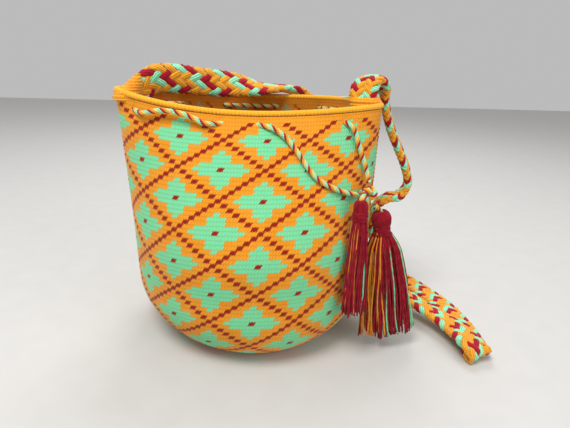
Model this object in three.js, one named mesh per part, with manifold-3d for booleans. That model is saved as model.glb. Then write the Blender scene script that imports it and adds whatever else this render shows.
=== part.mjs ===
// Wayuu mochila: a crocheted bucket bag with a braided shoulder strap, a drawstring and two tassels.
// Millimetres, +Z up, -Y the front, +X the right side seen from the front.
// The origin is the middle of the flat base.
import * as THREE from 'three';
import { mergeVertices } from 'three/addons/utils/BufferGeometryUtils.js';
import Module from 'manifold-3d';

const wasm = await Module();
wasm.setup();

// Bag body. Each profile list runs from the floor to the rim in four equal steps.
const BAG_HEIGHT = 246;
const WALL = 4;
const CORNER_RADIUS = 64;
const HALF_WIDTHS = [125, 128, 128, 130.5, 133];
const FRONT_DEPTHS = [140, 122, 114, 74, 28];
const BACK_DEPTHS = [129, 130, 130, 126, 118];
const MOUTH_SHIFT = [-5.5, -32];
const LEFT_RISE = 17;
const RIGHT_RISE = 8;
const BACK_RISE = 6;
const FRONT_DIP = 1.5;
const LEFT_PINCH = 0.35;
const RIGHT_PINCH = -0.2;
const BEAD_HEIGHT = 7;
const BEAD_PROUD = 1.6;
const AROUND = 56;
const CORNER_RINGS = 7;
const WALL_RINGS = 9;

// Drawstring and its eyelets. Arcs run round the wall from the middle of the front, + to the right.
const CORD_DIAMETER = 5.2;
const EYELET_HEIGHT = 233;
const EYELET_ARCS = [5, -34, -118, -156, -212, -250, -306, -374, -430, -468, -530, -594];
const SLOT_WIDTH = 18;
const SLOT_HEIGHT = 8;
const SLOT_DEPTH = 6 * WALL;
const CORD_OUT = 4.9;
const CORD_IN = WALL + 4.9;
const RUN_STEP = 12;
const LOOSE_RUN = 1;
const LOOSE_RISE = 7;
const CORD_SIDES = 8;
const CORD_STEPS = 170;

// Strap: a flat braid. The route runs from the left rim corner to the right one,
// as a point on its middle line and the direction of its width there.
const STRAP_WIDTH = 31;
const STRAP_THICK = 9.4;
const STRAP_STEPS = 110;
const STRAP_SIDES = 12;
const STRAP_ROUTE = [
  [-122, -27, 252, 0.25, 0, 1], [-106, -12, 268, 0.15, 0, 1], [-85, 8, 269.5, 0, 0, 1],
  [-55, 29, 266, 0, 0.1, 1], [-22, 50, 263.5, 0, 0.55, 0.83], [10, 70, 259.5, 0, 0.95, 0.25],
  [40, 86, 258.8, 0, 1, -0.1], [62, 96, 252, -0.4, 0.85, -0.3], [80, 94, 226, -0.75, 0.6, -0.25],
  [93, 93, 195, -0.8, 0.6, 0], [104, 94, 160, -0.8, 0.6, 0], [113, 95, 125, -0.75, 0.65, 0],
  [120, 97, 90, -0.55, 0.83, 0], [126, 101, 56, -0.1, 1, 0], [136, 105, 26, 0.3, 0.95, 0],
  [154, 104, 9, 0.45, 0.9, 0], [180, 88, 5.4, 0.6, 0.8, 0], [207, 64, 5.4, 0.8, 0.6, 0],
  [221, 31, 5.4, 0.92, 0.4, 0], [230, 2, 5.4, 0.95, 0.32, 0], [236, -28, 5.4, 0.97, 0.22, 0],
  [237, -65, 5.4, 1, 0.06, 0], [233, -100, 5.6, 0.97, 0.2, 0], [228, -117, 6.6, 0.92, 0.4, 0],
  [224, -126, 11.5, 0.9, 0.45, 0], [221, -120, 16.6, 0.92, 0.4, 0], [220.5, -108, 17, 0.94, 0.34, 0],
  [219, -92, 16, 0.98, 0.2, 0], [213, -70, 16, 0.98, 0.17, -0.05], [201, -44, 17, 0.96, 0.27, -0.15],
  [189, -21, 20, 0.88, 0.47, -0.2], [176, -3, 28, 0.6, 0.8, -0.1], [165, 12, 42, 0.3, 0.95, 0],
  [156, 16, 62, 0.3, 0.95, 0], [147, 12, 88, 0.3, 0.95, 0], [141, 5, 112, 0.3, 0.95, 0],
  [143, -1, 132, 0.3, 0.95, 0], [155, -3, 142.5, 0.25, 0.95, 0], [169, -3, 145.5, 0.25, 0.95, 0],
  [177.5, -3, 159, 0.34, 0.94, 0], [174, -3, 176, 0.34, 0.94, 0], [164, -3, 197, 0.34, 0.94, 0],
  [152, -4, 219, 0.34, 0.94, 0], [143, -6, 240, 0.34, 0.94, 0], [137, -9, 259, 0.25, 0.97, 0],
  [130.5, -14, 270.5, -0.2, 0.98, 0], [120, -21, 276, -0.55, 0.84, 0], [111, -28, 271, -0.85, 0.5, 0],
  [107, -31, 260, -1, 0.1, 0], [107, -30, 246, -1, 0, 0],
];

// The two ends of the drawstring, from their front eyelets to the knot.
const LEFT_TAIL = [
  [9, -72.4, 231], [17.5, -75, 227], [26.6, -79, 219], [36, -85, 207], [45, -91, 194.5],
  [54.5, -93.6, 185.5], [69.5, -93, 177.5], [86, -88.5, 171.5], [96.3, -83.5, 169],
];
const RIGHT_TAIL = [
  [90.5, -64.5, 231], [96, -68, 216], [100.7, -69, 203.7], [105, -71, 192], [106.8, -74, 184], [106.6, -78.5, 179.6],
];
const KNOT = [106.3, -81.2, 168.2];
const KNOT_RADII = [9, 7.5, 10.5];

// Tassels: hinge at the underside of the knot, then a neck cord, a hank of yarn and its binding.
const TASSELS = [
  {
    name: 'left_tassel',
    hinge: [98, -93, 172],
    top: [93.5, -102, 168.5],
    bottom: [91, -114, 54],
    head: 6.5,
    neck: 6.5,
    neckDown: 14,
    skirt: 12.5,
    flat: 0.7,
  },
  {
    name: 'right_tassel',
    hinge: [115, -83, 157],
    top: [121.5, -80, 151],
    bottom: [139, -86, 14],
    head: 10,
    neck: 7.6,
    neckDown: 19,
    skirt: 33,
    flat: 0.5,
  },
];
const NECK_CORD = 3;
const NECK_GAP = 4.2;
const BINDING_HEIGHT = 4;
const TASSEL_SIDES = 18;

// The tabs that sew the strap's ends into the rim's corners, and the loose end of their yarn.
const LEFT_TAB = [
  [-124.5, -26.5, 250, 9, 10.5], [-124.5, -26.5, 252, 9.2, 11], [-123.5, -26.5, 258, 9.4, 11],
  [-121.5, -25.5, 264.5, 8.4, 11], [-118.5, -23, 270, 5.6, 10], [-117, -21.5, 274.5, 2.5, 7.5],
];
const RIGHT_TAB = [
  [110, -30, 243.4, 15, 9], [110, -30, 247, 17, 11.5], [110, -30, 255, 17.5, 11.5], [110, -30, 258, 15, 8.5],
];
const TAB_SIDES = 20;
const YARN_TAIL = [[91.4, -34, 257.6], [88, -37, 258.4], [84, -39, 257.8]];
const YARN_DIAMETER = 2;

// Clearance between neighbouring pieces.
const GAP = 0.4;

const YELLOW = new THREE.MeshStandardMaterial({ color: 0xf2a02a, roughness: 0.9, metalness: 0 });
const MIX = new THREE.MeshStandardMaterial({ color: 0xd98c3c, roughness: 0.9, metalness: 0 });
const PALE = new THREE.MeshStandardMaterial({ color: 0xc9d89a, roughness: 0.9, metalness: 0 });
const CRIMSON = new THREE.MeshStandardMaterial({ color: 0x8f1228, roughness: 0.85, metalness: 0 });
const MINT = new THREE.MeshStandardMaterial({ color: 0x86e3b4, roughness: 0.9, metalness: 0 });

const group = new THREE.Group();

function addMesh(name, geometry, material) {
  const mesh = new THREE.Mesh(geometry, material);
  mesh.name = name;
  group.add(mesh);
  return mesh;
}

// Smooth value at t (0 to 1) through evenly spaced values.
function along(values, t) {
  const last = values.length - 1;
  const place = THREE.MathUtils.clamp(t, 0, 1) * last;
  const i = Math.min(Math.floor(place), last - 1);
  const f = place - i;
  const p1 = values[i];
  const p2 = values[i + 1];
  const p0 = i === 0 ? 2 * p1 - p2 : values[i - 1];
  const p3 = i === last - 1 ? 2 * p2 - p1 : values[i + 2];
  const cubic = 3 * p1 - p0 - 3 * p2 + p3;
  const square = 2 * p0 - 5 * p1 + 4 * p2 - p3;
  return 0.5 * (2 * p1 + (p2 - p0) * f + square * f * f + cubic * f * f * f);
}

// Point of the bag's wall at an angle (0 right, -90 degrees front) and a height, moved in by inset.
function wallPoint(angle, height, inset = 0) {
  const t = THREE.MathUtils.clamp(height / BAG_HEIGHT, 0, 1);
  const radius = CORNER_RADIUS - inset;
  const drop = THREE.MathUtils.clamp((CORNER_RADIUS - height) / radius, 0, 1);
  const cut = inset + radius * (1 - Math.sqrt(1 - drop * drop));
  const c = Math.cos(angle);
  const s = Math.sin(angle);
  const right = (1 + c) / 2;
  const squeeze = Math.max((t - 0.35) / 0.65, 0) ** 1.5;
  const power = 1 + squeeze * THREE.MathUtils.lerp(LEFT_PINCH, RIGHT_PINCH, right);
  const depth = along(s < 0 ? FRONT_DEPTHS : BACK_DEPTHS, t) - cut;
  const x = (along(HALF_WIDTHS, t) - cut) * c + MOUTH_SHIFT[0] * t;
  const y = depth * Math.sign(s) * Math.abs(s) ** power + MOUTH_SHIFT[1] * t;
  const fade = Math.max((t - 0.6) / 0.4, 0) ** 2;
  const middle = s > 0 ? BACK_RISE * s * s : -FRONT_DIP * s * s * fade;
  const rise = THREE.MathUtils.lerp(LEFT_RISE, RIGHT_RISE, right) * c * c + middle;
  return new THREE.Vector3(x, y, height + rise * fade);
}

// Closed solid through rings of points, all with the same count, with a fan over each end.
function loft(rings) {
  const count = rings[0].length;
  const points = rings.flat();
  const index = [];
  for (let r = 0; r < rings.length - 1; r += 1) {
    for (let i = 0; i < count; i += 1) {
      const a = r * count + i;
      const b = r * count + ((i + 1) % count);
      index.push(a, b, b + count, a, b + count, a + count);
    }
  }
  const ends = [[rings[0], 0, true], [rings[rings.length - 1], (rings.length - 1) * count, false]];
  for (const [ring, first, flip] of ends) {
    const middle = points.length;
    const centre = new THREE.Vector3();
    ring.forEach((p) => centre.addScaledVector(p, 1 / count));
    points.push(centre);
    for (let i = 0; i < count; i += 1) {
      const a = first + i;
      const b = first + ((i + 1) % count);
      index.push(...(flip ? [b, a, middle] : [a, b, middle]));
    }
  }
  const geometry = new THREE.BufferGeometry().setFromPoints(points);
  geometry.setIndex(index);
  return geometry;
}

function toManifold(geometry) {
  const plain = geometry.clone();
  plain.deleteAttribute('normal');
  plain.deleteAttribute('uv');
  const merged = mergeVertices(plain, 1e-4);
  return new wasm.Manifold(new wasm.Mesh({
    numProp: 3,
    vertProperties: new Float32Array(merged.attributes.position.array),
    triVerts: new Uint32Array(merged.index.array),
  }));
}

function toGeometry(solid) {
  const mesh = solid.getMesh();
  const geometry = new THREE.BufferGeometry();
  geometry.setAttribute('position', new THREE.BufferAttribute(mesh.vertProperties, 3));
  geometry.setIndex(new THREE.BufferAttribute(mesh.triVerts, 1));
  return geometry;
}

// Round tube along smooth points.
function tube(points, diameter, sides, steps) {
  const path = new THREE.CatmullRomCurve3(points, false, 'catmullrom', 0.5);
  const section = new THREE.Shape();
  section.absarc(0, 0, diameter / 2, 0, Math.PI * 2, false);
  return new THREE.ExtrudeGeometry(section, { steps, curveSegments: sides / 2, extrudePath: path });
}

const vector = (p) => new THREE.Vector3(p[0], p[1], p[2]);
const rounded = (value) => Math.sign(value) * Math.abs(value) ** 0.8;

// Angle of the wall at each arc length round the eyelets' height.
const arcTable = [];
for (let degrees = -90; degrees <= 270; degrees += 1) {
  const angle = THREE.MathUtils.degToRad(degrees);
  const point = wallPoint(angle, EYELET_HEIGHT);
  const last = arcTable[arcTable.length - 1];
  arcTable.push({ angle, point, arc: last ? last.arc + point.distanceTo(last.point) : 0 });
}
const GIRTH = arcTable[arcTable.length - 1].arc;

function angleAtArc(arc) {
  const wanted = ((arc % GIRTH) + GIRTH) % GIRTH;
  const next = arcTable.findIndex((row) => row.arc > wanted);
  const a = arcTable[next - 1];
  const b = arcTable[next];
  return THREE.MathUtils.mapLinear(wanted, a.arc, b.arc, a.angle, b.angle);
}

// Point beside the wall at the eyelets' height, moved in by inset along the wall's own normal.
function besideWall(arc, inset) {
  const here = wallPoint(angleAtArc(arc), EYELET_HEIGHT);
  const ahead = wallPoint(angleAtArc(arc + 4), EYELET_HEIGHT);
  const behind = wallPoint(angleAtArc(arc - 4), EYELET_HEIGHT);
  const inward = new THREE.Vector3(0, 0, 1).cross(ahead.sub(behind)).normalize();
  return here.addScaledVector(inward, inset);
}

// The crocheted shell from the base to the beaded rim, grown by a clearance on every side.
function bagShell(grow) {
  const rings = [];
  const addRing = (height, inset) => {
    const ring = [];
    for (let i = 0; i < AROUND; i += 1) {
      ring.push(wallPoint((i / AROUND) * Math.PI * 2, height, inset));
    }
    rings.push(ring);
  };
  const shoulder = BAG_HEIGHT - BEAD_HEIGHT;
  for (let i = 0; i <= CORNER_RINGS; i += 1) {
    addRing(CORNER_RADIUS * (1 - Math.cos((i / CORNER_RINGS) * Math.PI / 2)), -grow);
  }
  for (let i = 1; i <= WALL_RINGS; i += 1) {
    addRing(THREE.MathUtils.lerp(CORNER_RADIUS, shoulder, i / WALL_RINGS), -grow);
  }
  addRing(shoulder + 1.5, -BEAD_PROUD - grow);
  addRing(BAG_HEIGHT - 2, -BEAD_PROUD - grow);
  const top = rings[rings.length - 1];
  rings.push(top.map((p, i) => {
    const edge = wallPoint((i / AROUND) * Math.PI * 2, BAG_HEIGHT, 0.5 - grow);
    return edge.setZ(edge.z + grow);
  }));
  rings.push(top.map((p, i) => {
    const edge = wallPoint((i / AROUND) * Math.PI * 2, BAG_HEIGHT, WALL - 0.5 + grow);
    return edge.setZ(edge.z + grow);
  }));
  for (let i = WALL_RINGS; i >= 1; i -= 1) {
    addRing(THREE.MathUtils.lerp(CORNER_RADIUS, shoulder, i / WALL_RINGS), WALL + grow);
  }
  for (let i = CORNER_RINGS; i >= 0; i -= 1) {
    const drop = Math.cos((i / CORNER_RINGS) * Math.PI / 2);
    addRing(CORNER_RADIUS - (CORNER_RADIUS - WALL - grow) * drop, WALL + grow);
  }
  return toManifold(loft(rings));
}

function bagBody() {
  let solid = bagShell(0);
  for (const arc of EYELET_ARCS) {
    const slot = new THREE.BoxGeometry(SLOT_WIDTH, SLOT_HEIGHT, SLOT_DEPTH);
    const place = new THREE.Object3D();
    place.position.copy(besideWall(arc, WALL / 2));
    place.up.set(0, 0, 1);
    place.lookAt(besideWall(arc, -SLOT_DEPTH));
    place.updateMatrix();
    solid = solid.subtract(toManifold(slot.applyMatrix4(place.matrix)));
  }
  return toGeometry(solid);
}

// The drawstring goes in at one front eyelet, weaves leftwards round the rim and comes out at the other.
// Its first run outside lies higher than its eyelets.
function drawstringPoints() {
  const points = LEFT_TAIL.map(vector).reverse();
  let inset = -CORD_OUT;
  EYELET_ARCS.forEach((arc, i) => {
    const far = inset < 0 ? CORD_IN : -CORD_OUT;
    points.push(besideWall(arc, WALL / 2));
    const next = EYELET_ARCS[i + 1];
    if (next !== undefined) {
      const steps = Math.max(2, Math.round((arc - next) / RUN_STEP));
      for (let k = 0; k < steps; k += 1) {
        const start = arc - SLOT_WIDTH / 2 - 3;
        const end = next + SLOT_WIDTH / 2 + 3;
        const point = besideWall(THREE.MathUtils.lerp(start, end, k / (steps - 1)), far);
        point.z += i === LOOSE_RUN ? LOOSE_RISE * Math.sin((k / (steps - 1)) * Math.PI) : 0;
        points.push(point);
      }
    }
    inset = far;
  });
  points.push(...RIGHT_TAIL.map(vector));
  return points;
}

// Flat rounded section, swept along the strap's route with its own turn.
function strapGeometry(grow) {
  const middle = new THREE.CatmullRomCurve3(STRAP_ROUTE.map(vector), false, 'catmullrom', 0.5);
  const widths = STRAP_ROUTE.map((p) => new THREE.Vector3(p[3], p[4], p[5]).normalize());
  const rings = [];
  for (let i = 0; i <= STRAP_STEPS; i += 1) {
    const t = i / STRAP_STEPS;
    const point = middle.getPoint(t);
    const tangent = middle.getTangent(t);
    const place = t * (widths.length - 1);
    const from = Math.min(Math.floor(place), widths.length - 2);
    const across = widths[from].clone().lerp(widths[from + 1], place - from);
    across.addScaledVector(tangent, -across.dot(tangent)).normalize();
    const normal = tangent.clone().cross(across);
    const ring = [];
    for (let k = 0; k < STRAP_SIDES; k += 1) {
      const turn = (k / STRAP_SIDES) * Math.PI * 2;
      const wide = rounded(Math.cos(turn)) * (STRAP_WIDTH / 2 + grow);
      const thick = rounded(Math.sin(turn)) * (STRAP_THICK / 2 + grow);
      ring.push(point.clone().addScaledVector(across, wide).addScaledVector(normal, thick));
    }
    rings.push(ring);
  }
  return loft(rings);
}

// Crocheted tab that closes a corner of the rim round an end of the strap. Each row of the list is
// the middle of a level and its half sizes along X and Y.
function strapTab(levels) {
  const rings = levels.map(([x, y, z, halfX, halfY]) => {
    const ring = [];
    for (let k = 0; k < TAB_SIDES; k += 1) {
      const turn = (k / TAB_SIDES) * Math.PI * 2;
      ring.push(new THREE.Vector3(x + Math.cos(turn) * halfX, y + Math.sin(turn) * halfY, z));
    }
    return ring;
  });
  const solid = toManifold(loft(rings));
  return toGeometry(solid.subtract(bagShell(GAP)).subtract(toManifold(strapGeometry(GAP))));
}

// A hank of yarn: a round head, a bound neck and a flattened skirt, on a straight line.
function addTassel({ name, hinge, top, bottom, head, neck, neckDown, skirt, flat }) {
  const start = vector(top);
  const axis = vector(bottom).sub(start);
  const length = axis.length();
  axis.normalize();
  const across = new THREE.Vector3(1, 0, 0).addScaledVector(axis, -axis.x).normalize();
  const depth = axis.clone().cross(across);
  const spread = (part) => THREE.MathUtils.lerp(neck, skirt, part);
  // distance down the tassel, half width, half depth
  const stations = [
    [0, head * 0.5, head * 0.5], [neckDown * 0.14, head * 0.85, head * 0.85], [neckDown * 0.38, head, head],
    [neckDown * 0.67, head * 0.95, head * 0.95], [neckDown - 3, neck, neck], [neckDown + 3, neck, neck],
    [neckDown + 16, spread(0.3), neck], [length * 0.5, spread(0.6), spread(0.6) * flat],
    [length * 0.8, spread(0.93), spread(0.93) * flat], [length, skirt, skirt * flat],
  ];
  const rings = stations.map(([down, halfWidth, halfDepth]) => {
    const ring = [];
    for (let k = 0; k < TASSEL_SIDES; k += 1) {
      const turn = (k / TASSEL_SIDES) * Math.PI * 2;
      const point = start.clone().addScaledVector(axis, down);
      point.addScaledVector(across, Math.cos(turn) * halfWidth);
      ring.push(point.addScaledVector(depth, Math.sin(turn) * halfDepth));
    }
    return ring;
  });
  addMesh(`${name}_hank`, loft(rings), CRIMSON);
  const inner = neck + GAP + 0.2;
  const outer = inner + 1.4;
  const half = BINDING_HEIGHT / 2;
  const section = [[inner, -half], [outer, -half + 0.5], [outer, half - 0.5], [inner, half], [inner, -half]];
  const binding = new THREE.LatheGeometry(section.map(([x, y]) => new THREE.Vector2(x, y)), TASSEL_SIDES);
  const ring = addMesh(`${name}_binding`, binding, PALE);
  ring.position.copy(start).addScaledVector(axis, neckDown);
  ring.quaternion.setFromUnitVectors(new THREE.Vector3(0, -1, 0), axis);
  const neckEnd = start.clone().lerp(vector(hinge), NECK_GAP / start.distanceTo(vector(hinge)));
  addMesh(`${name}_cord`, tube([vector(hinge), neckEnd], NECK_CORD, CORD_SIDES, 1), PALE);
}

addMesh('bag_body', bagBody(), YELLOW);
addMesh('strap', strapGeometry(0), MIX);
addMesh('left_strap_tab', strapTab(LEFT_TAB), YELLOW);
addMesh('right_strap_tab', strapTab(RIGHT_TAB), YELLOW);
addMesh('yarn_tail', tube(YARN_TAIL.map(vector), YARN_DIAMETER, CORD_SIDES, 4), MINT);
addMesh('drawstring', tube(drawstringPoints(), CORD_DIAMETER, CORD_SIDES, CORD_STEPS), PALE);

const knot = new THREE.SphereGeometry(1, 16, 12);
knot.scale(...KNOT_RADII);
addMesh('drawstring_knot', knot, PALE).position.copy(vector(KNOT));

TASSELS.forEach(addTassel);

export default group;
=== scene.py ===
import math

import bpy
import numpy as np
from mathutils import Matrix, Vector


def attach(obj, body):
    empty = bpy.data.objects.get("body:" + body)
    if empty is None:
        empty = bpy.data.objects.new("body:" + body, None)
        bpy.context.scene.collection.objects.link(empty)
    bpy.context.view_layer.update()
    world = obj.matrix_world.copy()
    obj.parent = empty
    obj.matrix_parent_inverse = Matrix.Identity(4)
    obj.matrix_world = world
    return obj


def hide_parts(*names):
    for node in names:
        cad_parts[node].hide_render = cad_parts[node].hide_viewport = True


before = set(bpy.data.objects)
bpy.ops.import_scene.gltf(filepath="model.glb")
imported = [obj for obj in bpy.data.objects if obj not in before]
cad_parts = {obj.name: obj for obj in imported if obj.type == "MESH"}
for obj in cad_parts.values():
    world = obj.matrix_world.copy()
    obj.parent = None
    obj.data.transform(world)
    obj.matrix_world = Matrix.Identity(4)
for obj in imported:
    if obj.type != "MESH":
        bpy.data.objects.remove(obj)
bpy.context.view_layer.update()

MM = 0.001

# ---------------------------------------------------------------------------------------------
# Shape of the bag, as in the CAD, in mm
# ---------------------------------------------------------------------------------------------
BAG_HEIGHT = 246
WALL = 4
CORNER_RADIUS = 64
HALF_WIDTHS = [125, 128, 128, 130.5, 133]
FRONT_DEPTHS = [140, 122, 114, 74, 28]
BACK_DEPTHS = [129, 130, 130, 126, 118]
MOUTH_SHIFT = [-5.5, -32]
LEFT_RISE = 17
RIGHT_RISE = 8
BACK_RISE = 6
FRONT_DIP = 1.5
LEFT_PINCH = 0.35
RIGHT_PINCH = -0.2
BEAD_HEIGHT = 7

# Drawstring
CORD_DIAMETER = 5.2
CORD_PITCH = 12.5
CORD_PLIES = [1, 0, 2, 3]
EYELET_HEIGHT = 233
EYELET_ARCS = [5, -34, -118, -156, -212, -250, -306, -374, -430, -468, -530, -594]
SLOT_WIDTH = 18
CORD_OUT = 4.9
CORD_IN = WALL + 4.9
RUN_STEP = 12
LOOSE_RUN = 1
LOOSE_RISE = 7
LEFT_TAIL = [
    (9, -72.4, 231), (17.5, -75, 227), (26.6, -79, 219), (36, -85, 207), (45, -91, 194.5),
    (54.5, -93.6, 185.5), (69.5, -93, 177.5), (86, -88.5, 171.5), (96.3, -83.5, 169),
]
RIGHT_TAIL = [
    (90.5, -64.5, 231), (96, -68, 216), (100.7, -69, 203.7), (105, -71, 192),
    (106.8, -74, 184), (106.6, -78.5, 179.6),
]
KNOT = (106.3, -81.2, 168.2)

# Strap: points of the middle line, each with the direction of its width
STRAP_WIDTH = 31
STRAP_THICK = 9.4
STRAP_ROUTE = [
    (-122, -27, 252, 0.25, 0, 1), (-106, -12, 268, 0.15, 0, 1), (-85, 8, 269.5, 0, 0, 1),
    (-55, 29, 266, 0, 0.1, 1), (-22, 50, 263.5, 0, 0.55, 0.83), (10, 70, 259.5, 0, 0.95, 0.25),
    (40, 86, 258.8, 0, 1, -0.1), (62, 96, 252, -0.4, 0.85, -0.3), (80, 94, 226, -0.75, 0.6, -0.25),
    (93, 93, 195, -0.8, 0.6, 0), (104, 94, 160, -0.8, 0.6, 0), (113, 95, 125, -0.75, 0.65, 0),
    (120, 97, 90, -0.55, 0.83, 0), (126, 101, 56, -0.1, 1, 0), (136, 105, 26, 0.3, 0.95, 0),
    (154, 104, 9, 0.45, 0.9, 0), (180, 88, 5.4, 0.6, 0.8, 0), (207, 64, 5.4, 0.8, 0.6, 0),
    (221, 31, 5.4, 0.92, 0.4, 0), (230, 2, 5.4, 0.95, 0.32, 0), (236, -28, 5.4, 0.97, 0.22, 0),
    (237, -65, 5.4, 1, 0.06, 0), (233, -100, 5.6, 0.97, 0.2, 0), (228, -117, 6.6, 0.92, 0.4, 0),
    (224, -126, 11.5, 0.9, 0.45, 0), (221, -120, 16.6, 0.92, 0.4, 0), (220.5, -108, 17, 0.94, 0.34, 0),
    (219, -92, 16, 0.98, 0.2, 0), (213, -70, 16, 0.98, 0.17, -0.05), (201, -44, 17, 0.96, 0.27, -0.15),
    (189, -21, 20, 0.88, 0.47, -0.2), (176, -3, 28, 0.6, 0.8, -0.1), (165, 12, 42, 0.3, 0.95, 0),
    (156, 16, 62, 0.3, 0.95, 0), (147, 12, 88, 0.3, 0.95, 0), (141, 5, 112, 0.3, 0.95, 0),
    (143, -1, 132, 0.3, 0.95, 0), (155, -3, 142.5, 0.25, 0.95, 0), (169, -3, 145.5, 0.25, 0.95, 0),
    (177.5, -3, 159, 0.34, 0.94, 0), (174, -3, 176, 0.34, 0.94, 0), (164, -3, 197, 0.34, 0.94, 0),
    (152, -4, 219, 0.34, 0.94, 0), (143, -6, 240, 0.34, 0.94, 0), (137, -9, 259, 0.25, 0.97, 0),
    (130.5, -14, 270.5, -0.2, 0.98, 0), (120, -21, 276, -0.55, 0.84, 0), (111, -28, 271, -0.85, 0.5, 0),
    (107, -31, 260, -1, 0.1, 0), (107, -30, 246, -1, 0, 0),
]

# Tassels and tabs
TASSELS = {
    "left_tassel": {
        "hinge": (98, -93, 172), "top": (93.5, -102, 168.5), "bottom": (91, -114, 54),
        "head": 6.5, "neck": 6.5, "neck_down": 14, "skirt": 12.5, "flat": 0.7,
    },
    "right_tassel": {
        "hinge": (115, -83, 157), "top": (121.5, -80, 151), "bottom": (139, -86, 14),
        "head": 10, "neck": 7.6, "neck_down": 19, "skirt": 33, "flat": 0.5,
    },
}
# the left tab's lower rows are sewn over the outside of the rim's corner
LEFT_TAB = [
    (-128.5, -29, 250, 13, 13.2), (-128.5, -29, 253, 13.2, 13.2), (-126.5, -28, 259, 12, 12.6),
    (-121.5, -25.5, 264.5, 8.4, 11), (-118.5, -23, 270, 5.6, 10), (-117, -21.5, 274.5, 2.5, 7.5),
]
RIGHT_TAB = [
    (110, -30, 243.4, 15, 9), (110, -30, 247, 17, 11.5), (110, -30, 255, 17.5, 11.5),
    (110, -30, 258, 15, 8.5),
]
YARN_TAIL = [(91.4, -34, 257.6), (88, -37, 258.4), (84, -39, 257.8)]

# Crochet gauge and pattern
STITCHES = 280
STITCH = 2.918
ROW = 4.21
FIRST_ROW = 31.5
BLOCK = 2
CELL = 14
COLUMN_SHIFT = 0.129 * CELL * BLOCK * STITCH
ROW_DRIFT = 0.457
FRONT_ARC = 165

# Colours, linear
YELLOW = (0.92, 0.355, 0.02)
# YELLOW_DARK: for the fibre streaks of the bead and tabs, and the painted shade in the tabs' grooves
# between rows and stitches
YELLOW_DARK = (0.62, 0.17, 0.006)
BEAD_YELLOW = (1.0, 0.46, 0.022)
MINT = (0.19, 0.74, 0.37)
STRAP_MINT = (0.32, 0.93, 0.56)
DOT_RED = (0.31, 0.008, 0.004)
STRAP_RED = (0.47, 0.004, 0.026)
CRIMSON = (0.3, 0.001, 0.014)
STRAP_YELLOW = (0.97, 0.4, 0.018)
CREAM = (0.93, 0.72, 0.22)


# ---------------------------------------------------------------------------------------------
# Curves and the bag's wall
# ---------------------------------------------------------------------------------------------
def along(values, t):
    """Smooth value at t (0 to 1) through evenly spaced values, which may be rows of numbers."""
    values = np.asarray(values, float)
    last = len(values) - 1
    place = np.clip(np.asarray(t, float), 0, 1) * last
    i = np.minimum(place.astype(int), last - 1)
    f = place - i
    ends = np.concatenate([[2 * values[0] - values[1]], values, [2 * values[-1] - values[-2]]])
    p0, p1, p2, p3 = ends[i], ends[i + 1], ends[i + 2], ends[i + 3]
    if values.ndim > 1:
        f = f[..., None]
    cubic = 3 * p1 - p0 - 3 * p2 + p3
    square = 2 * p0 - 5 * p1 + 4 * p2 - p3
    return 0.5 * (2 * p1 + (p2 - p0) * f + square * f * f + cubic * f**3)


def wall_point(angle, height, inset=0.0, dip=FRONT_DIP):
    """Point of the wall at an angle (0 right, -90 degrees front) and a height, moved in by inset."""
    angle, height = np.broadcast_arrays(np.asarray(angle, float), np.asarray(height, float))
    t = np.clip(height / BAG_HEIGHT, 0, 1)
    radius = CORNER_RADIUS - inset
    drop = np.clip((CORNER_RADIUS - height) / radius, 0, 1)
    cut = inset + radius * (1 - np.sqrt(1 - drop * drop))
    c, s = np.cos(angle), np.sin(angle)
    right = (1 + c) / 2
    squeeze = np.maximum((t - 0.35) / 0.65, 0) ** 1.5
    power = 1 + squeeze * (LEFT_PINCH + (RIGHT_PINCH - LEFT_PINCH) * right)
    depth = np.where(s < 0, along(FRONT_DEPTHS, t), along(BACK_DEPTHS, t)) - cut
    x = (along(HALF_WIDTHS, t) - cut) * c + MOUTH_SHIFT[0] * t
    y = depth * np.sign(s) * np.abs(s) ** power + MOUTH_SHIFT[1] * t
    fade = np.maximum((t - 0.6) / 0.4, 0) ** 2
    middle = np.where(s > 0, BACK_RISE, -dip * fade) * s * s
    rise = (LEFT_RISE + (RIGHT_RISE - LEFT_RISE) * right) * c * c + middle
    return np.stack([x, y, height + rise * fade], -1)


def unit(v):
    return v / np.maximum(np.linalg.norm(v, axis=-1, keepdims=True), 1e-9)


def smooth_step(x, low, high):
    t = np.clip((np.asarray(x, float) - low) / (high - low), 0, 1)
    return t * t * (3 - 2 * t)


def lengths(points):
    """Distance along a line of points, starting at 0."""
    steps = np.linalg.norm(np.diff(points, axis=0), axis=1)
    return np.concatenate([[0], np.cumsum(steps)])


def evenly(points, step):
    """The smooth curve through points, at an even step of about that length."""
    points = np.asarray(points, float)
    fine = along(points, np.linspace(0, 1, 40 * len(points)))
    run = lengths(fine)
    wanted = np.linspace(0, run[-1], max(2, int(round(run[-1] / step)) + 1))
    return np.stack([np.interp(wanted, run, fine[:, k]) for k in range(3)], -1)


def frames(points):
    """Tangent and two steady side directions at each point of a line."""
    tangent = unit(np.gradient(points, axis=0))
    side = np.cross(tangent[0], (0.3, 0.5, 0.81))
    first = np.empty_like(points)
    for i, way in enumerate(tangent):
        side = side - way * side.dot(way)
        side = side / np.linalg.norm(side)
        first[i] = side
    return tangent, first, np.cross(tangent, first)


# ---------------------------------------------------------------------------------------------
# Meshes
# ---------------------------------------------------------------------------------------------
def grid_faces(rows, columns, start=0, closed=True):
    """Quads of a grid of rows by columns, joined round along each row if closed."""
    r = np.arange(rows - 1)[:, None]
    i = np.arange(columns if closed else columns - 1)[None, :]
    a = start + r * columns + i
    b = start + r * columns + (i + 1) % columns
    return np.stack([a, b, b + columns, a + columns], -1).reshape(-1, 4)


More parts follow.
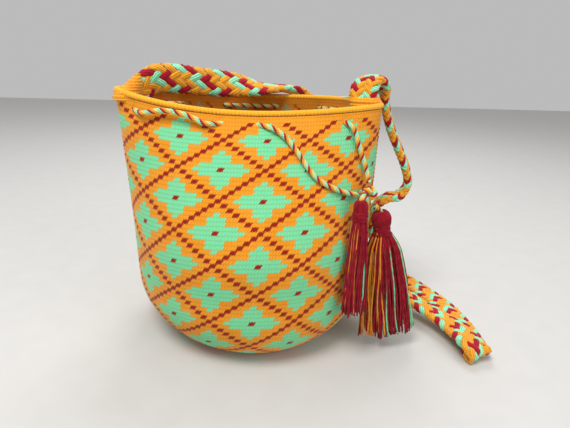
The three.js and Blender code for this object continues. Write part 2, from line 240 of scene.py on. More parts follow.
class Build:
    """Collects grids of points in mm into one mesh with UVs and several materials."""

    def __init__(self):
        self.points = []
        self.faces = []
        self.uvs = []
        self.slots = []
        self.count = 0

    def grid(self, points, u, v, slot=0, closed=True, caps=True):
        """points is rows x columns x 3; u and v are the values at its rows and columns, or grids."""
        rows, columns = points.shape[:2]
        u = np.broadcast_to(u, (rows, columns)) if np.ndim(u) != 2 else u
        v = np.broadcast_to(np.asarray(v)[:, None], (rows, columns)) if np.ndim(v) != 2 else v
        faces = grid_faces(rows, columns, self.count, closed)
        local = faces - self.count
        uv = np.stack([u.reshape(-1)[local], v.reshape(-1)[local]], -1)
        if closed:
            seam = uv[:, :, 0].max(1) - uv[:, :, 0].min(1) > columns / 2 * abs(u[0, 1] - u[0, 0])
            period = abs(u[0, 1] - u[0, 0]) * columns
            low = uv[seam][:, :, 0]
            uv[seam, :, 0] = np.where(low < low.max(1, keepdims=True) - period / 2, low + period, low)
        self.points.append(points.reshape(-1, 3))
        self.faces.extend(faces.tolist())
        self.uvs.append(uv.reshape(-1, 2))
        self.slots.extend([slot] * len(faces))
        first = self.count
        self.count += rows * columns
        if closed and caps:
            self.fan(points[0], first, slot, uv[0, 0], True)
            self.fan(points[-1], first + (rows - 1) * columns, slot, uv[-1, 0], False)

    def fan(self, ring, first, slot, uv, flip):
        columns = len(ring)
        middle = self.count
        self.points.append(ring.mean(0)[None])
        self.count += 1
        for i in range(columns):
            a, b = first + i, first + (i + 1) % columns
            self.faces.append([b, a, middle] if flip else [a, b, middle])
            self.uvs.append(np.array([uv, uv, uv]))
            self.slots.append(slot)

    def tube(self, points, radius, sides=6, slot=0):
        """Round tube with closed ends; radius is a number or one for each point."""
        radius = np.broadcast_to(np.asarray(radius, float), (len(points),)).copy()
        _, first, second = frames(points)
        turn = np.arange(sides) / sides * 2 * np.pi
        run = lengths(points)
        rings = (
            points[:, None]
            + first[:, None] * (np.cos(turn)[None, :, None] * radius[:, None, None])
            + second[:, None] * (np.sin(turn)[None, :, None] * radius[:, None, None])
        )
        self.grid(rings, np.arange(sides) / sides, run, slot)

    def make(self, name, materials, body, replaced=()):
        mesh = bpy.data.meshes.new(name)
        points = np.concatenate(self.points) * MM
        mesh.from_pydata(points.tolist(), [], self.faces)
        layer = mesh.uv_layers.new(name="UVMap")
        layer.data.foreach_set("uv", np.concatenate(self.uvs).astype(np.float32).ravel())
        for material in materials:
            mesh.materials.append(material)
        mesh.polygons.foreach_set("material_index", self.slots)
        mesh.polygons.foreach_set("use_smooth", [True] * len(self.faces))
        mesh.update()
        thing = bpy.data.objects.new(name, mesh)
        bpy.context.collection.objects.link(thing)
        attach(thing, body)
        if replaced:
            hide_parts(*replaced)
        return thing


# ---------------------------------------------------------------------------------------------
# Materials
# ---------------------------------------------------------------------------------------------
class Nodes:
    """A material's node tree, built with short calls."""

    def __init__(self, name, roughness=0.85, sheen=0.35):
        self.material = bpy.data.materials.new(name)
        self.material.use_nodes = True
        self.tree = self.material.node_tree
        self.shader = self.tree.nodes["Principled BSDF"]
        self.shader.inputs["Roughness"].default_value = roughness
        self.shader.inputs["Specular IOR Level"].default_value = 0.2
        self.shader.inputs["Sheen Weight"].default_value = sheen
        self.shader.inputs["Sheen Roughness"].default_value = 0.5
        self.shader.inputs["Sheen Tint"].default_value = (1.0, 0.85, 0.7, 1.0)

    def put(self, socket, value):
        if isinstance(value, bpy.types.NodeSocket):
            self.tree.links.new(value, socket)
        elif isinstance(value, tuple) and len(value) == 3 and socket.type == "RGBA":
            socket.default_value = (*value, 1.0)
        else:
            socket.default_value = value

    def math(self, operation, *values):
        node = self.tree.nodes.new("ShaderNodeMath")
        node.operation = operation
        for socket, value in zip(node.inputs, values):
            self.put(socket, value)
        return node.outputs[0]

    def mix(self, factor, a, b, blend="MIX"):
        node = self.tree.nodes.new("ShaderNodeMix")
        node.data_type = "RGBA"
        node.blend_type = blend
        self.put(node.inputs[0], factor)
        self.put(node.inputs[6], a)
        self.put(node.inputs[7], b)
        return node.outputs[2]

    def noise(self, vector, scale, detail=2.0, rough=0.5):
        node = self.tree.nodes.new("ShaderNodeTexNoise")
        self.put(node.inputs["Vector"], vector)
        node.inputs["Scale"].default_value = scale
        node.inputs["Detail"].default_value = detail
        node.inputs["Roughness"].default_value = rough
        return node.outputs["Fac"]

    def fibres(self, u, v, across, lengthways, rough=0.65):
        """Streaks of fibre, finer with more steps across and lengthways."""
        place = self.vector(self.math("MULTIPLY", u, across), self.math("MULTIPLY", v, lengthways), 0.0)
        return self.noise(place, 1.0, 3.0, rough)

    def groove(self, value):
        """1 at whole values and 0 halfway between them."""
        doubled = self.math("MULTIPLY", self.math("FRACT", value), 2.0)
        return self.math("ABSOLUTE", self.math("SUBTRACT", doubled, 1.0))

    def plies(self, turn):
        """0 between two plies, at whole turns, and 1 on the middle of a ply."""
        return self.math("ABSOLUTE", self.math("SINE", self.math("MULTIPLY", turn, math.pi)))

    def place(self):
        return self.tree.nodes.new("ShaderNodeTexCoord").outputs["Object"]

    def uv(self):
        node = self.tree.nodes.new("ShaderNodeSeparateXYZ")
        self.put(node.inputs[0], self.tree.nodes.new("ShaderNodeTexCoord").outputs["UV"])
        return node.outputs[0], node.outputs[1]

    def vector(self, x, y, z):
        node = self.tree.nodes.new("ShaderNodeCombineXYZ")
        for socket, value in zip(node.inputs, (x, y, z)):
            self.put(socket, value)
        return node.outputs[0]

    def ramp(self, value, low, high, out_low=0.0, out_high=1.0):
        node = self.tree.nodes.new("ShaderNodeMapRange")
        node.interpolation_type = "SMOOTHSTEP"
        for socket, number in zip(node.inputs, (value, low, high, out_low, out_high)):
            self.put(socket, number)
        return node.outputs[0]

    def finish(self, colour, height=None, distance=0.0004, strength=0.8):
        self.put(self.shader.inputs["Base Color"], colour)
        if height is not None:
            bump = self.tree.nodes.new("ShaderNodeBump")
            bump.inputs["Strength"].default_value = strength
            bump.inputs["Distance"].default_value = distance
            self.put(bump.inputs["Height"], height)
            self.put(self.shader.inputs["Normal"], bump.outputs["Normal"])
        return self.material


def yarn(name, colour, shade_and_fibre_dark=0.45, twist=1.6, plies=3, sheen=0.35):
    """Cotton yarn on a tube with u round it and v along it in mm: twisted plies with painted shade in the
    grooves between them, fibres, fuzz.
    """
    n = Nodes(name, sheen=sheen)
    u, v = n.uv()
    place = n.place()
    turn = n.math("ADD", n.math("MULTIPLY", u, plies), n.math("DIVIDE", v, twist))
    groove = n.plies(turn)
    fibre = n.fibres(u, v, 14.0, 0.9, 0.7)
    patch = n.noise(place, 180.0, 3.0)
    # deep: the yarn's colour made deeper, laid as painted shade in the grooves between plies and on the
    # fibre streaks
    deep = tuple(c * shade_and_fibre_dark for c in colour)
    pale = tuple(min(1.0, c * 1.12) for c in colour)
    # painted shade: the grooves between plies go towards deep
    base = n.mix(n.ramp(groove, 0.0, 0.75), deep, colour)
    base = n.mix(n.ramp(patch, 0.45, 0.8, 0.0, 0.5), base, pale)
    base = n.mix(n.ramp(fibre, 0.25, 0.5, 0.35, 0.0), base, deep)
    height = n.math("ADD", groove, n.math("MULTIPLY", fibre, 0.5))
    return n.finish(base, height)


# ---------------------------------------------------------------------------------------------
# Camera, light and floor
# ---------------------------------------------------------------------------------------------
CAMERA_PLACE = (-0.0276, -0.4941, 0.2873)
CAMERA_YAW = 0.12507
CAMERA_PITCH = 0.3214
CAMERA_ROLL = 0.03475
CAMERA_LENS = 28.32


def make_camera():
    data = bpy.data.cameras.new("camera")
    data.lens = CAMERA_LENS
    data.sensor_width = 36
    data.clip_start = 0.01
    thing = bpy.data.objects.new("camera", data)
    bpy.context.collection.objects.link(thing)
    forward = Vector((
        math.sin(CAMERA_YAW) * math.cos(CAMERA_PITCH),
        math.cos(CAMERA_YAW) * math.cos(CAMERA_PITCH),
        -math.sin(CAMERA_PITCH),
    ))
    right = Vector((math.cos(CAMERA_YAW), -math.sin(CAMERA_YAW), 0))
    up = right.cross(forward)
    turn = Matrix((right, up, -forward)).transposed().to_4x4()
    thing.matrix_world = (
        Matrix.Translation(CAMERA_PLACE) @ turn @ Matrix.Rotation(CAMERA_ROLL, 4, "Z")
    )
    bpy.context.scene.camera = thing


def area_light(name, place, target, size, watts):
    data = bpy.data.lights.new(name, "AREA")
    data.shape = "DISK"
    data.size = size
    data.energy = watts
    thing = bpy.data.objects.new(name, data)
    bpy.context.collection.objects.link(thing)
    thing.location = place
    thing.rotation_euler = (Vector(target) - Vector(place)).to_track_quat("-Z", "Y").to_euler()


def make_studio():
    bpy.context.scene.view_settings.view_transform = "Standard"
    world = bpy.data.worlds.new("studio")
    bpy.context.scene.world = world
    world.use_nodes = True
    world.node_tree.nodes["Background"].inputs["Color"].default_value = (1.0, 1.0, 1.0, 1)
    world.node_tree.nodes["Background"].inputs["Strength"].default_value = 0.5
    area_light("key", (-0.45, -0.7, 1.6), (0, 0, 0.1), 0.8, 19.5)
    area_light("fill", (1.2, -1.2, 0.9), (0, 0, 0.12), 1.2, 7.5)
    area_light("back", (0.2, 1.0, 1.6), (0, 0, 0.2), 1.0, 12)

    size = 3.0
    mesh = bpy.data.meshes.new("floor")
    corners = [(-size, -size, 0), (size, -size, 0), (size, size, 0), (-size, size, 0)]
    mesh.from_pydata(corners, [], [(0, 1, 2, 3)])
    floor = bpy.data.objects.new("floor", mesh)
    bpy.context.collection.objects.link(floor)
    n = Nodes("floor_paper", roughness=0.7, sheen=0.0)
    grain = n.noise(n.place(), 35.0, 3.0)
    paper = n.mix(grain, (0.6, 0.59, 0.575), (0.65, 0.64, 0.62))
    mesh.materials.append(n.finish(paper, grain, 0.0002, 0.2))


# ---------------------------------------------------------------------------------------------
# Cords
# ---------------------------------------------------------------------------------------------
def eyelet_arc_table():
    angles = np.radians(np.arange(-90, 271, 1.0))
    return angles, lengths(wall_point(angles, EYELET_HEIGHT))


ARC_ANGLES, ARC_LENGTHS = eyelet_arc_table()
GIRTH = ARC_LENGTHS[-1]


def beside_wall(arc, inset):
    """Point beside the wall at the eyelets' height, moved in by inset along the wall's own normal."""
    def on_wall(a):
        return wall_point(np.interp(a % GIRTH, ARC_LENGTHS, ARC_ANGLES), EYELET_HEIGHT)

    way = on_wall(arc + 4) - on_wall(arc - 4)
    return on_wall(arc) + unit(np.cross((0, 0, 1), way)) * inset


def drawstring_points():
    """In at one front eyelet, leftwards in and out round the rim, and out at the other."""
    points = LEFT_TAIL[::-1]
    inset = -CORD_OUT
    for i, arc in enumerate(EYELET_ARCS):
        far = CORD_IN if inset < 0 else -CORD_OUT
        points.append(tuple(beside_wall(arc, WALL / 2)))
        if i + 1 < len(EYELET_ARCS):
            following = EYELET_ARCS[i + 1]
            start = arc - SLOT_WIDTH / 2 - 3
            end = following + SLOT_WIDTH / 2 + 3
            steps = max(2, int(math.floor((arc - following) / RUN_STEP + 0.5)))
            for part in np.linspace(0, 1, steps):
                point = beside_wall(start + (end - start) * part, far)
                point[2] += LOOSE_RISE * math.sin(part * math.pi) if i == LOOSE_RUN else 0
                points.append(tuple(point))
        inset = far
    return points + RIGHT_TAIL


def twisted(build, points, radius, pitch, slots, sides=8, phase=0.0):
    """A cord of plies twisted round its middle line, one material slot for each ply."""
    _, first, second = frames(points)
    run = lengths(points)
    count = len(slots)
    lay = radius * (0.5 if count > 2 else 0.42)
    for k, slot in enumerate(slots):
        turn = phase + run / pitch * 2 * np.pi + k / count * 2 * np.pi
        line = points + first * (np.cos(turn) * lay)[:, None] + second * (np.sin(turn) * lay)[:, None]
        build.tube(line, radius * (0.56 if count < 4 else 0.5), sides, slot)


def cord_yarns():
    return [
        yarn("cord_mint", STRAP_MINT),
        yarn("cord_cream", CREAM),
        yarn("cord_red", STRAP_RED),
        yarn("cord_yellow", STRAP_YELLOW),
    ]


def make_drawstring(materials):
    line = evenly(drawstring_points(), 1.0)
    build = Build()
    twisted(build, line, CORD_DIAMETER / 2, CORD_PITCH, CORD_PLIES)
    thing = build.make("drawstring_twist", materials, "bag", ["drawstring"])


def strap_path():
    """Dense middle line of the strap with the direction of its width and of its thickness."""
    route = np.asarray(STRAP_ROUTE, float)
    t = np.linspace(0, 1, 4001)
    points = along(route[:, :3], t)
    tangent = unit(np.gradient(points, axis=0))
    widths = unit(route[:, 3:])
    place = t * (len(widths) - 1)
    i = np.minimum(place.astype(int), len(widths) - 2)
    across = widths[i] + (widths[i + 1] - widths[i]) * (place - i)[:, None]
    across = unit(across - tangent * (across * tangent).sum(1, keepdims=True))
    return points, across, np.cross(tangent, across)


# Colour repeat of the braid along the strap: (distance from the start, repeat)
STRAP_REPEATS = [
    (0, 38), (40, 50), (230, 50), (320, 34), (620, 30), (800, 34), (940, 30), (1010, 25), (1260, 25),
]
STRAP_TURN_STEPS = 28
STRAND_SIDES = 10
STRAND_THICK = 1.75
STRAND_LIFT = 0.95
EDGE_INSET = 2.6
FACE_INSET = 2.1


def make_strap():
    """Flat tubular braid: eight strands lean each way, and each goes over two and under two."""
    points, across, normal = strap_path()
    run = lengths(points)
    repeat = np.interp(run, *np.transpose(STRAP_REPEATS))
    phase = np.concatenate([[0], np.cumsum(np.diff(run) / (2 * repeat[1:]))])
    count = int(phase[-1] * STRAP_TURN_STEPS)
    wanted = np.linspace(0, phase[-1], count)

    def pick(values):
        if values.ndim == 1:
            return np.interp(wanted, phase, values)
        return np.stack([np.interp(wanted, phase, values[:, k]) for k in range(3)], -1)

    middle, across, normal, repeat = pick(points), unit(pick(across)), unit(pick(normal)), pick(repeat)
    build = Build()
    leaning = {1: [2, 2, 1, 0], -1: [0, 1, 2, 2]}
    for way, colours in leaning.items():
        for i in range(8):
            turn = way * wanted * 2 * np.pi + i * np.pi / 4 + np.pi / 16
            over = way * np.cos(4 * (turn - np.pi / 8))
            strap_strand(build, middle, across, normal, turn, over, repeat, colours[i % 4])
    materials = [
        yarn("strap_mint", STRAP_MINT, plies=9, twist=45),
        yarn("strap_red", STRAP_RED, plies=9, twist=45, sheen=0.15),
        yarn("strap_yellow", STRAP_YELLOW, plies=9, twist=45),
    ]
    thing = build.make("strap_braid", materials, "bag", ["strap"])


def strap_strand(build, middle, across, normal, turn, over, repeat, slot):
    """One strand of the braid: it goes round the flat section and over and under the others."""
    rise = STRAND_LIFT * np.sign(over) * np.abs(over) ** 0.6

    def section(angle, out):
        c, s = np.cos(angle), np.sin(angle)
        wide = np.interp(np.arccos(np.clip(c, -1, 1)), [0, np.pi], [1, -1])
        thick = np.sign(s) * np.abs(s) ** 0.5
        return wide * (STRAP_WIDTH / 2 - EDGE_INSET) + c * out, thick * (STRAP_THICK / 2 - FACE_INSET + out)

    wide, thick = section(turn, rise)
    line = middle + across * wide[:, None] + normal * thick[:, None]
    ahead_w, ahead_t = section(turn + 0.15, 0)
    behind_w, behind_t = section(turn - 0.15, 0)
    out = unit(across * (ahead_t - behind_t)[:, None] - normal * (ahead_w - behind_w)[:, None])
    tangent = unit(np.gradient(line, axis=0))
    out = unit(out - tangent * (out * tangent).sum(1, keepdims=True))
    side = np.cross(tangent, out)
    column = STRAP_WIDTH / 4
    half = 0.54 * repeat / 4 * column / np.hypot(column, repeat / 4) * (1 + 0.08 * over)
    around = np.arange(STRAND_SIDES) / STRAND_SIDES * 2 * np.pi
    c, s = np.cos(around), np.sin(around)
    rings = (
        line[:, None]
        + side[:, None] * (c[None, :, None] * half[:, None, None])
        + out[:, None] * s[None, :, None] * STRAND_THICK
    )
    rings[..., 2] = np.maximum(rings[..., 2], 0.2)
    build.grid(rings, np.arange(STRAND_SIDES) / STRAND_SIDES, lengths(line), slot)


make_camera()
make_studio()
CORD_YARNS = cord_yarns()
make_drawstring(CORD_YARNS)
make_strap()


# ---------------------------------------------------------------------------------------------
# Crocheted bag
# ---------------------------------------------------------------------------------------------
def profile_grid(inset, dip=FRONT_DIP):
    """Points of the wall at many angles, from the rim down and in along the base."""
    angles = np.radians(np.arange(-90, 271, 1.0))
    walls = np.linspace(BAG_HEIGHT, CORNER_RADIUS, 90)
    corner = np.linspace(0, np.pi / 2, 70)[1:]
    radius = CORNER_RADIUS - max(inset, 0)
    heights = np.concatenate([walls, CORNER_RADIUS - radius * np.sin(corner)])
    return angles, wall_point(angles[:, None], heights[None, :], inset, dip)


def row_rings(inset, downs):
    """Rings of the wall at distances down the surface from the rim, even at every angle.

    The distances are those before the front of the rim dips, which squeezes the top rows.
    """
    angles, points = profile_grid(inset)
    steps = np.linalg.norm(np.diff(profile_grid(inset, 0)[1], axis=1), axis=2)
    down = np.concatenate([np.zeros((len(angles), 1)), np.cumsum(steps, axis=1)], axis=1)
    down *= down[:1, -1:] / down[:, -1:]
    rings = np.empty((len(downs), len(angles), 3))
    for a in range(len(angles)):
        for k in range(3):
            rings[:, a, k] = np.interp(downs, down[a], points[a, :, k])
    return rings, down[0, -1]


def stitch_arcs(columns, down, girth):
    """Arc from the front's middle for each stitch column of a row, true to gauge on the front."""
    stitch = np.arange(columns) / columns * STITCHES
    stitch = (stitch + STITCHES / 2) % STITCHES - STITCHES / 2
    shift = COLUMN_SHIFT - ROW_DRIFT * (down - FIRST_ROW) / ROW
    full = STITCHES / 2 * STITCH
    out = np.abs(stitch * STITCH)
    squeezed = FRONT_ARC + (out - FRONT_ARC) * (girth / 2 - FRONT_ARC) / (full - FRONT_ARC)
    out = np.where(out > FRONT_ARC, squeezed, out)
    return (np.sign(stitch) * out + shift) % girth


def crochet_sheet(inset, downs, columns):
    """Grid of points at the stitches' columns on rings at the given distances from the rim."""
    rings, total = row_rings(inset, downs)
    grid = np.empty((len(downs), columns, 3))
    for j, ring in enumerate(rings):
        run = lengths(ring)
        arcs = stitch_arcs(columns, downs[j], run[-1])
        for k in range(3):
            grid[j, :, k] = np.interp(arcs, run, ring[:, k])
    return grid, total


def grid_normals(grid):
    ahead = np.roll(grid, -1, axis=1) - np.roll(grid, 1, axis=1)
    down = np.gradient(grid, axis=0)
    return unit(np.cross(down, ahead))


def crochet_material(name, muted_and_shaded):
    n = Nodes(name, sheen=0.2)
    u, v = n.uv()
    place = n.place()
    wander = n.noise(place, 260.0, 2.0)
    slant = n.math("MULTIPLY", n.math("FRACT", v), 0.7)
    leaned = n.math("SUBTRACT", u, slant)
    crown = n.math("MULTIPLY", n.math("COSINE", n.math("MULTIPLY", leaned, 2 * math.pi)), 0.13)
    inside = n.math("ADD", leaned, n.math("MULTIPLY", wander, 0.5))
    x = n.math("FLOOR", n.math("DIVIDE", n.math("ADD", inside, BLOCK / 2), BLOCK))
    y = n.math("FLOOR", n.math("ADD", v, crown))
    ax = n.math("ABSOLUTE", n.math("WRAP", x, CELL / 2, -CELL / 2))
    ay = n.math("ABSOLUTE", n.math("WRAP", y, CELL / 2, -CELL / 2))
    total = n.math("ADD", ax, ay)
    flip = n.math("GREATER_THAN", total, CELL / 2)
    red = n.math("COMPARE", total, CELL / 2, 0.5)

    def folded(value):
        other = n.math("SUBTRACT", CELL / 2, value)
        difference = n.math("SUBTRACT", other, value)
        return n.math("ADD", value, n.math("MULTIPLY", flip, difference))

    qx, qy = folded(ax), folded(ay)
    mint = 0.0
    for wide, high in ((4.5, 0.5), (3.5, 1.5), (1.5, 3.5), (0.5, 4.5)):
        bar = n.math("MULTIPLY", n.math("LESS_THAN", qx, wide), n.math("LESS_THAN", qy, high))
        mint = n.math("MAXIMUM", mint, bar)
    centre = n.math("LESS_THAN", n.math("ADD", qx, qy), 0.5)
    red = n.math("MAXIMUM", red, centre)
    patterned = n.math("MULTIPLY", n.math("LESS_THAN", v, 5.0), n.math("GREATER_THAN", v, -56.0))
    red = n.math("MULTIPLY", red, patterned)
    mint = n.math("MULTIPLY", mint, patterned)
    # no half crosses above the topmost whole ones
    topmost = n.math("MULTIPLY", flip, n.math("GREATER_THAN", v, 2.5))
    mint = n.math("MULTIPLY", mint, n.math("SUBTRACT", 1.0, topmost))

    groove_v = n.groove(v)
    groove_u = n.groove(leaned)
    fibre = n.fibres(leaned, v, 9.0, 2.2)
    patch = n.noise(place, 28.0, 3.0)
    yellow = n.mix(n.ramp(patch, 0.3, 0.7), (0.85, 0.315, 0.011), YELLOW)
    base = n.mix(mint, yellow, MINT)
    base = n.mix(red, base, DOT_RED)
    # inside of the bag: the pattern muted as on the back of the work, and the yellow turned towards
    # brown-orange as painted shade
    if muted_and_shaded:
        base = n.mix(0.45, base, (0.7, 0.22, 0.01))
    # the crochet's colour in shade: the grooves between rows and between stitches are darkened towards it
    # as painted shade, and the fibre streaks a little
    shade_and_fibre_dark = n.mix(0.55, base, (0.28, 0.045, 0.004))
    base = n.mix(n.ramp(groove_v, 0.55, 1.0, 0.0, 0.38), base, shade_and_fibre_dark)
    base = n.mix(n.ramp(groove_u, 0.6, 1.0, 0.0, 0.36), base, shade_and_fibre_dark)
    base = n.mix(n.ramp(fibre, 0.2, 0.5, 0.25, 0.0), base, shade_and_fibre_dark)
    height = n.math("SUBTRACT", n.math("MULTIPLY", fibre, 0.6), n.ramp(groove_u, 0.4, 1.0))
    return n.finish(base, height, 0.0005, 0.7)


OUTER_COLUMNS = 560
INNER_COLUMNS = 280
STITCH_RELIEF = 0.45
ROW_RELIEF = 0.55
LINING_RELIEF = 0.25
LINING_STEP = 6.0
EYELET_REACH = 5.5
EYELET_PULL = 2.2
LINING_PULL = 1.2


def eyelet_pull(grid):
    """How strongly each point of the wall is drawn in round an eyelet, 0 to 1."""
    pull = np.zeros(grid.shape[:2])
    for arc in EYELET_ARCS:
        place = beside_wall(arc, WALL / 2)
        away = np.linalg.norm(grid - place, axis=2)
        pull = np.maximum(pull, np.exp(-((away / EYELET_REACH) ** 2)))
    return pull


def make_bag():
    _, total = row_rings(0.0, np.array([0.0, 1.0]))
    first = BEAD_HEIGHT - 2
    # two rings for every row of stitches, on the row's middle and on the groove between rows
    top_row = (FIRST_ROW - first) / ROW + 0.5
    rows = np.arange(math.floor(top_row * 2) / 2, -(total - FIRST_ROW) / ROW + 0.5, -0.5)
    downs = np.clip(FIRST_ROW - (rows - 0.5) * ROW, 0, total)
    grid, total = crochet_sheet(0.0, downs, OUTER_COLUMNS)
    normals = grid_normals(grid)
    stitch = np.arange(OUTER_COLUMNS) / OUTER_COLUMNS * STITCHES
    # -1 on the groove between two rows, +1 on the middle of a row
    ridge = np.where(np.abs(rows - np.round(rows)) < 0.25, -1.0, 1.0)
    bump = ROW_RELIEF * ridge[:, None] * 0.5 + STITCH_RELIEF * 0.5 * np.cos(
        2 * np.pi * (stitch[None, :] + 0.5)
    ) * (ridge[:, None] > 0)
    pull = eyelet_pull(grid)
    outer = grid + normals * (bump - EYELET_PULL * pull)[..., None]
    outer[..., 2] = np.maximum(outer[..., 2], 0)
    build = Build()
    inner_downs = np.concatenate([[first], np.arange(first + 4, total, LINING_STEP)])
    inner, _ = crochet_sheet(WALL, inner_downs, INNER_COLUMNS)
    inner_normals = grid_normals(inner)
    inner_bump = LINING_RELIEF * np.cos(2 * np.pi * np.arange(INNER_COLUMNS) / 2)[None, :]
    inner = inner + inner_normals * (inner_bump + LINING_PULL * eyelet_pull(inner))[..., None]
    inner_v = (FIRST_ROW - inner_downs) / ROW + 0.5
    inner_u = np.arange(INNER_COLUMNS) / INNER_COLUMNS * STITCHES
    # the base closes with rings that shrink to its middle
    base_steps = np.linspace(1, 0.04, 9)[1:]
    base = outer[-1][None] * base_steps[:, None, None]
    base[:, :, 2] = 0.0
    full = np.concatenate([outer, base])
    base_v = rows[-1] - (1 - base_steps) * np.linalg.norm(outer[-1], axis=1).mean() / ROW
    build.grid(full[::-1], stitch, np.concatenate([rows, base_v])[::-1], 0, caps=False)
    build.fan(full[-1], 0, 0, (0.0, base_v[-1]), True)
    start = build.count
    floor = inner[-1][None] * base_steps[:, None, None]
    floor[:, :, 2] = inner[-1][:, 2].mean()
    lining = np.concatenate([inner, floor])
    lining_v = np.concatenate([inner_v, inner_v[-1] - (1 - base_steps) * 15])
    build.grid(lining, inner_u, lining_v, 1, caps=False)
    build.fan(lining[-1], start + (len(lining) - 1) * INNER_COLUMNS, 1, (0.0, lining_v[-1]), False)
    build.make(
        "bag_crochet",
        [crochet_material("crochet_outside", False), crochet_material("crochet_inside", True)],
        "bag", ["bag_body"],
    )


BEAD_POINTS = 700
BEAD_SIDES = 12
BEAD_HALF_WIDTH = 3.1
BEAD_HALF_DEPTH = 2.9
BEAD_STITCH = 3.6


def make_bead():
    """The thick rolled row along the rim, worked in slanting stitches."""
    angles = np.radians(np.arange(-90, 271, 1.0))
    rim = wall_point(angles, BAG_HEIGHT - 2.6, WALL / 2 - 0.6)
    run = lengths(rim)
    wanted = np.arange(BEAD_POINTS) / BEAD_POINTS * run[-1]
    line = np.stack([np.interp(wanted, run, rim[:, k]) for k in range(3)], -1)
    ahead = unit(np.roll(line, -1, axis=0) - np.roll(line, 1, axis=0))
    up = np.array([0.0, 0.0, 1.0])
    out = unit(np.cross(ahead, up))
    around = np.arange(BEAD_SIDES) / BEAD_SIDES * 2 * np.pi
    place = wanted[:, None] / BEAD_STITCH + around[None, :] / (2 * np.pi)
    swell = 1 + 0.02 * np.cos(2 * np.pi * place)
    rings = (
        line[:, None]
        + out[:, None] * (np.cos(around)[None, :, None] * BEAD_HALF_WIDTH * swell[..., None])
        + up[None, None] * (np.sin(around)[None, :, None] * BEAD_HALF_DEPTH * swell[..., None])
    )
    build = Build()
    closed = np.concatenate([rings, rings[:1]])
    closed_run = np.arange(BEAD_POINTS + 1) / BEAD_POINTS * run[-1]
    build.grid(closed, np.arange(BEAD_SIDES) / BEAD_SIDES, closed_run, 0, caps=False)
    n = Nodes("bead_yarn", sheen=0.3)
    u, v = n.uv()
    turn = n.math("ADD", n.math("DIVIDE", v, BEAD_STITCH), u)
    groove = n.plies(turn)
    fibre = n.fibres(u, v, 6.0, 2.0)
    # painted shade: the grooves between the slanting stitches go half way from BEAD_YELLOW to the darker
    # YELLOW
    base = n.mix(n.ramp(groove, 0.0, 0.6, 0.5, 1.0), YELLOW, BEAD_YELLOW)
    base = n.mix(n.ramp(fibre, 0.25, 0.5, 0.3, 0.0), base, YELLOW_DARK)
    material = n.finish(base, n.math("ADD", groove, n.math("MULTIPLY", fibre, 0.5)), 0.0006)
    build.make("rim_bead", [material], "bag", ())


# ---------------------------------------------------------------------------------------------
# Tabs, tassels, knot and the loose thread
# ---------------------------------------------------------------------------------------------
def tab_material():
    n = Nodes("tab_crochet", sheen=0.3)
    u, v = n.uv()
    place = n.place()
    slant = n.math("MULTIPLY", n.math("FRACT", v), 0.6)
    row = n.groove(v)
    column = n.groove(n.math("SUBTRACT", u, slant))
    fibre = n.fibres(u, v, 9.0, 2.2)
    patch = n.noise(place, 60.0, 3.0)
    base = n.mix(n.ramp(patch, 0.3, 0.7), YELLOW, BEAD_YELLOW)
    # painted shade: the grooves between rows and between stitches are darkened towards YELLOW_DARK
    base = n.mix(n.ramp(row, 0.5, 1.0, 0.0, 0.5), base, YELLOW_DARK)
    base = n.mix(n.ramp(column, 0.6, 1.0, 0.0, 0.35), base, YELLOW_DARK)
    base = n.mix(n.ramp(fibre, 0.2, 0.5, 0.3, 0.0), base, YELLOW_DARK)
    height = n.math("SUBTRACT", n.math("MULTIPLY", fibre, 0.6), n.ramp(column, 0.4, 1.0))
    return n.finish(base, height, 0.0005, 0.7)


TAB_ROW = 3.6


def make_tab(name, node, levels, material):
    """Crocheted tab: rings through the levels, each row of stitches swelling out a little."""
    rise = lengths(np.asarray(levels, float)[:, :3])
    total = rise[-1]
    downs = np.arange(0, total + TAB_ROW / 4, TAB_ROW / 4)
    values = np.stack([np.interp(downs, rise, column) for column in np.transpose(levels)], -1)
    columns = 96
    turn = np.arange(columns) / columns * 2 * np.pi
    swell = 0.45 * np.cos(2 * np.pi * downs / TAB_ROW)[:, None]
    swell = swell + 0.15 * np.cos(turn * 24)[None, :]
    rings = np.stack([
        values[:, 0:1] + np.cos(turn) * (values[:, 3:4] + swell),
        values[:, 1:2] + np.sin(turn) * (values[:, 4:5] + swell),
        np.broadcast_to(values[:, 2:3], (len(downs), columns)),
    ], -1)
    build = Build()
    build.grid(rings, np.arange(columns) / columns * 24, downs / TAB_ROW + 0.5)
    build.make(name, [material], "bag", [node])


FOLD_RADIUS = 1.05
STRAND_RADIUS = 0.85
WRAP_RADIUS = 0.75
WRAP_TURNS = 4
WRAP_STEP = 1.05


def tassel_frame(spec):
    start = np.array(spec["top"], float)
    axis = np.array(spec["bottom"], float) - start
    length = np.linalg.norm(axis)
    axis /= length
    across = unit(np.array([1.0, 0, 0]) - axis * axis[0])
    return start, axis, length, across, np.cross(axis, across)


def tassel_outline(spec, length):
    """Half width and half depth of the hank at distances down it."""
    head, skirt, flat = spec["head"], spec["skirt"], spec["flat"]
    neck, down = spec["neck"], spec["neck_down"]
    downs = [0, down * 0.14, down * 0.38, down * 0.67, down - 2, down + 2]
    downs += [down + 9, down + 22, length * 0.6, length]
    parts = [0.5, 0.85, 1.0, 0.95]
    spread = [0.22, 0.5, 0.8, 1.0]
    wide = [head * p for p in parts] + [neck, neck] + [neck + (skirt - neck) * q for q in spread]
    deep = [head * p for p in parts] + [neck, neck] + [
        neck + (max(skirt * flat, neck) - neck) * q for q in spread
    ]
    return downs, wide, deep


